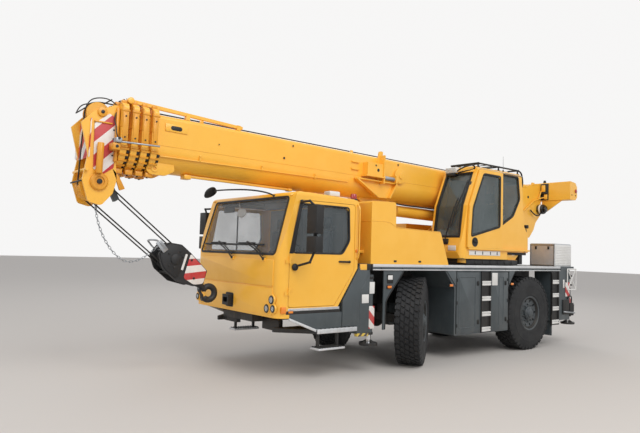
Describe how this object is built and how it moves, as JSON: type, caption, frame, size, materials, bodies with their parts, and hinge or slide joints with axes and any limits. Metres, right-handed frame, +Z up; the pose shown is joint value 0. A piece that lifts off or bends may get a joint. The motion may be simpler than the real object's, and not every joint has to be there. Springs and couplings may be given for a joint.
{
  "type": "two-axle telescopic mobile crane",
  "caption": "Road-going mobile crane with a wide driving cab, a telescopic boom on a slewing upper deck, a crane cab, outriggers and a hook block.",
  "frame": {"origin": "middle of the bounding box on the ground, between the axles on the centre line", "axes": "+X forward along the carrier, +Y to its left, +Z up"},
  "size_m": [10.9188, 3.42, 3.8538],
  "materials": {
    "yellow_paint": "gloss",
    "dark_grey_paint": "satin",
    "bare_aluminium": "brushed",
    "tyre_rubber": "matte",
    "rim_paint": "satin",
    "clear_glass": "gloss",
    "cab_trim": "matte",
    "lamp_plastic": "gloss",
    "cylinder_rod": "polished",
    "black_steel": "satin",
    "steel_rope": "satin"
  },
  "bodies": {
    "carrier": {"chassis_frame": "dark_grey_paint", "deck_plate": "dark_grey_paint", "slew_ring": "dark_grey_paint", "deck_rails": "bare_aluminium", "side_locker_left": "dark_grey_paint", "side_locker_right": "dark_grey_paint", "corner_covers": "dark_grey_paint", "front_fenders": "dark_grey_paint", "running_board_left": "bare_aluminium", "running_board_right": "bare_aluminium", "toolbox": "bare_aluminium", "engine_block": "black_steel", "engine_hood": "yellow_paint", "axle_front": "black_steel", "axle_rear": "black_steel", "cab_shell": "yellow_paint", "cab_windscreen": "clear_glass", "cab_interior": "cab_trim", "front_lamps": "lamp_plastic", "tow_coupling": "black_steel"},
    "upper_works": {"turntable_frame": "yellow_paint", "hoist_winch": "black_steel", "counterweight": "yellow_paint", "crane_cab_shell": "yellow_paint", "crane_cab_glass": "clear_glass", "crane_seat": "cab_trim", "hydraulic_cabinet": "yellow_paint"},
    "crane_door": {"crane_door": "yellow_paint"},
    "cab_door_left": {"cab_door_left": "yellow_paint"},
    "cab_door_right": {"cab_door_right": "yellow_paint"},
    "boom_base": {"boom_base": "yellow_paint"},
    "boom_section_1": {"boom_section_1": "yellow_paint"},
    "boom_section_2": {"boom_section_2": "yellow_paint"},
    "boom_section_3": {"boom_section_3": "yellow_paint", "boom_head": "yellow_paint", "hook_block": "black_steel", "hoist_ropes": "steel_rope"},
    "luff_barrel": {"luff_barrel": "yellow_paint"},
    "luff_rod": {"luff_rod": "cylinder_rod"},
    "knuckle_front_left": {"knuckle_front_left": "black_steel"},
    "wheel_front_left": {"tyre_front_left": "tyre_rubber", "rim_front_left": "rim_paint"},
    "outrigger_beam_front_left": {"outrigger_beam_front_left": "dark_grey_paint"},
    "outrigger_jack_front_left": {"outrigger_jack_front_left": "cylinder_rod"},
    "knuckle_front_right": {"knuckle_front_right": "black_steel"},
    "wheel_front_right": {"tyre_front_right": "tyre_rubber", "rim_front_right": "rim_paint"},
    "outrigger_beam_front_right": {"outrigger_beam_front_right": "dark_grey_paint"},
    "outrigger_jack_front_right": {"outrigger_jack_front_right": "cylinder_rod"},
    "knuckle_rear_left": {"knuckle_rear_left": "black_steel"},
    "wheel_rear_left": {"tyre_rear_left": "tyre_rubber", "rim_rear_left": "rim_paint"},
    "outrigger_beam_rear_left": {"outrigger_beam_rear_left": "dark_grey_paint"},
    "outrigger_jack_rear_left": {"outrigger_jack_rear_left": "cylinder_rod"},
    "knuckle_rear_right": {"knuckle_rear_right": "black_steel"},
    "wheel_rear_right": {"tyre_rear_right": "tyre_rubber", "rim_rear_right": "rim_paint"},
    "outrigger_beam_rear_right": {"outrigger_beam_rear_right": "dark_grey_paint"},
    "outrigger_jack_rear_right": {"outrigger_jack_rear_right": "cylinder_rod"}
  },
  "joints": [
    {"name": "steer_front_left", "type": "hinge", "parent": "carrier", "child": "knuckle_front_left", "pos_m": [0.04058, 1.05, 0.746], "axis": [0, 0, 1], "range_deg": [-63, 0]},
    {"name": "spin_front_left", "type": "hinge", "parent": "knuckle_front_left", "child": "wheel_front_left", "pos_m": [0.04058, 1.05, 0.746], "axis": [-0.5736, 0.8192, 0], "continuous": true},
    {"name": "steer_front_right", "type": "hinge", "parent": "carrier", "child": "knuckle_front_right", "pos_m": [0.04058, -1.05, 0.746], "axis": [0, 0, 1], "range_deg": [-63, 0]},
    {"name": "spin_front_right", "type": "hinge", "parent": "knuckle_front_right", "child": "wheel_front_right", "pos_m": [0.04058, -1.05, 0.746], "axis": [-0.4695, 0.8829, 0], "continuous": true},
    {"name": "steer_rear_left", "type": "hinge", "parent": "carrier", "child": "knuckle_rear_left", "pos_m": [-3.28942, 1.05, 0.746], "axis": [0, 0, 1], "range_deg": [-30, 30]},
    {"name": "spin_rear_left", "type": "hinge", "parent": "knuckle_rear_left", "child": "wheel_rear_left", "pos_m": [-3.28942, 1.05, 0.746], "axis": [0, 1, 0], "continuous": true},
    {"name": "steer_rear_right", "type": "hinge", "parent": "carrier", "child": "knuckle_rear_right", "pos_m": [-3.28942, -1.05, 0.746], "axis": [0, 0, 1], "range_deg": [-30, 30]},
    {"name": "spin_rear_right", "type": "hinge", "parent": "knuckle_rear_right", "child": "wheel_rear_right", "pos_m": [-3.28942, -1.05, 0.746], "axis": [0, 1, 0], "continuous": true},
    {"name": "cab_door_left", "type": "hinge", "parent": "carrier", "child": "cab_door_left", "pos_m": [2.83758, 1.265, 1.5], "axis": [0, 0, -1], "range_deg": [0, 70]},
    {"name": "cab_door_right", "type": "hinge", "parent": "carrier", "child": "cab_door_right", "pos_m": [2.83758, -1.265, 1.5], "axis": [0, 0, 1], "range_deg": [0, 70]},
    {"name": "slew", "type": "hinge", "parent": "carrier", "child": "upper_works", "pos_m": [-2.33942, 0, 1.75], "axis": [0, 0, 1], "continuous": true},
    {"name": "crane_door_slide", "type": "slide", "parent": "upper_works", "child": "crane_door", "axis": [-1, 0, 0], "range_m": [0, 0.62]},
    {"name": "boom_luff", "type": "hinge", "parent": "upper_works", "child": "boom_base", "pos_m": [-3.98942, 0, 3.3], "axis": [0, -1, 0], "range_deg": [0, 81]},
    {"name": "boom_extend_1", "type": "slide", "parent": "boom_base", "child": "boom_section_1", "axis": [0.9999, 0, 0.0157], "range_m": [0, 6.93]},
    {"name": "boom_extend_2", "type": "slide", "parent": "boom_section_1", "child": "boom_section_2", "axis": [0.9999, 0, 0.0157], "range_m": [0, 6.93]},
    {"name": "boom_extend_3", "type": "slide", "parent": "boom_section_2", "child": "boom_section_3", "axis": [0.9999, 0, 0.0157], "range_m": [0, 6.93]},
    {"name": "luff_barrel_turn", "type": "hinge", "parent": "upper_works", "child": "luff_barrel", "pos_m": [-3.08942, 0, 2.65], "axis": [0, -1, 0], "range_deg": [0, 85.24]},
    {"name": "luff_rod_slide", "type": "slide", "parent": "luff_barrel", "child": "luff_rod", "axis": [0.9996, 0, 0.0269], "range_m": [0, 1.4298]},
    {"name": "outrigger_front_left", "type": "slide", "parent": "carrier", "child": "outrigger_beam_front_left", "axis": [0, 1, 0], "range_m": [0, 1.65]},
    {"name": "jack_front_left", "type": "slide", "parent": "outrigger_beam_front_left", "child": "outrigger_jack_front_left", "axis": [0, 0, -1], "range_m": [0, 0.52]},
    {"name": "outrigger_front_right", "type": "slide", "parent": "carrier", "child": "outrigger_beam_front_right", "axis": [0, -1, 0], "range_m": [0, 1.65]},
    {"name": "jack_front_right", "type": "slide", "parent": "outrigger_beam_front_right", "child": "outrigger_jack_front_right", "axis": [0, 0, -1], "range_m": [0, 0.52]},
    {"name": "outrigger_rear_left", "type": "slide", "parent": "carrier", "child": "outrigger_beam_rear_left", "axis": [0, 1, 0], "range_m": [0, 1.65]},
    {"name": "jack_rear_left", "type": "slide", "parent": "outrigger_beam_rear_left", "child": "outrigger_jack_rear_left", "axis": [0, 0, -1], "range_m": [0, 0.52]},
    {"name": "outrigger_rear_right", "type": "slide", "parent": "carrier", "child": "outrigger_beam_rear_right", "axis": [0, -1, 0], "range_m": [0, 1.65]},
    {"name": "jack_rear_right", "type": "slide", "parent": "outrigger_beam_rear_right", "child": "outrigger_jack_rear_right", "axis": [0, 0, -1], "range_m": [0, 0.52]}
  ],
  "couplings": [
    {"joint": "steer_front_right", "follows": "steer_front_left", "ratio": 1},
    {"joint": "steer_rear_right", "follows": "steer_rear_left", "ratio": 1},
    {"joint": "boom_extend_2", "follows": "boom_extend_1", "ratio": 1},
    {"joint": "boom_extend_3", "follows": "boom_extend_1", "ratio": 1},
    {"joint": "luff_barrel_turn", "follows": "boom_luff", "ratio": 1.0462},
    {"joint": "luff_rod_slide", "follows": "boom_luff", "m_per_rad": 1.0043}
  ]
}
